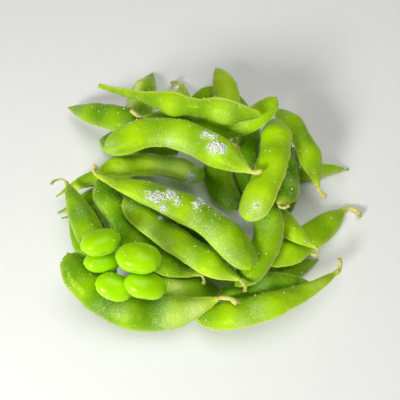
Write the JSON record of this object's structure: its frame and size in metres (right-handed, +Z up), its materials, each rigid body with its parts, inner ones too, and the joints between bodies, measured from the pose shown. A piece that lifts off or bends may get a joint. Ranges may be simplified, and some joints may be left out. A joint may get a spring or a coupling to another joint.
{
  "type": "edamame pod bundle",
  "caption": "Loose heap of cooked green edamame pods lying across each other, with a few shelled beans on top.",
  "frame": {"origin": "middle of the heap's footprint, on the surface it rests on", "axes": "+Z up, through the heap's least extent; +X to the viewer's right, along its longest extent; +Y to the back"},
  "size_m": [0.1414, 0.1344, 0.0429],
  "materials": {
    "pod_skin": "satin, finely downy",
    "bean_skin": "smooth, moist"
  },
  "bodies": {
    "root": {"back_pod_1": "pod_skin", "back_pod_2": "pod_skin", "back_pod_3": "pod_skin", "back_pod_4": "pod_skin", "back_pod_5": "pod_skin", "back_pod_6": "pod_skin", "back_pod_7": "pod_skin", "bean_1": "bean_skin", "bean_2": "bean_skin", "bean_3": "bean_skin", "bean_4": "bean_skin", "bean_5": "bean_skin", "front_pod_1": "pod_skin", "front_pod_2": "pod_skin", "front_pod_3": "pod_skin", "front_pod_4": "pod_skin", "left_pod_1": "pod_skin", "left_pod_2": "pod_skin", "left_pod_3": "pod_skin", "left_pod_4": "pod_skin", "left_pod_5": "pod_skin", "left_pod_6": "pod_skin", "middle_pod_1": "pod_skin", "middle_pod_2": "pod_skin", "middle_pod_3": "pod_skin", "middle_pod_4": "pod_skin", "middle_pod_5": "pod_skin", "middle_pod_6": "pod_skin", "middle_pod_7": "pod_skin", "middle_pod_8": "pod_skin", "middle_pod_9": "pod_skin", "right_pod_1": "pod_skin", "right_pod_2": "pod_skin", "right_pod_3": "pod_skin", "right_pod_4": "pod_skin", "right_pod_5": "pod_skin", "right_pod_6": "pod_skin", "right_pod_7": "pod_skin", "right_pod_8": "pod_skin", "right_pod_9": "pod_skin"}
  },
  "joints": []
}
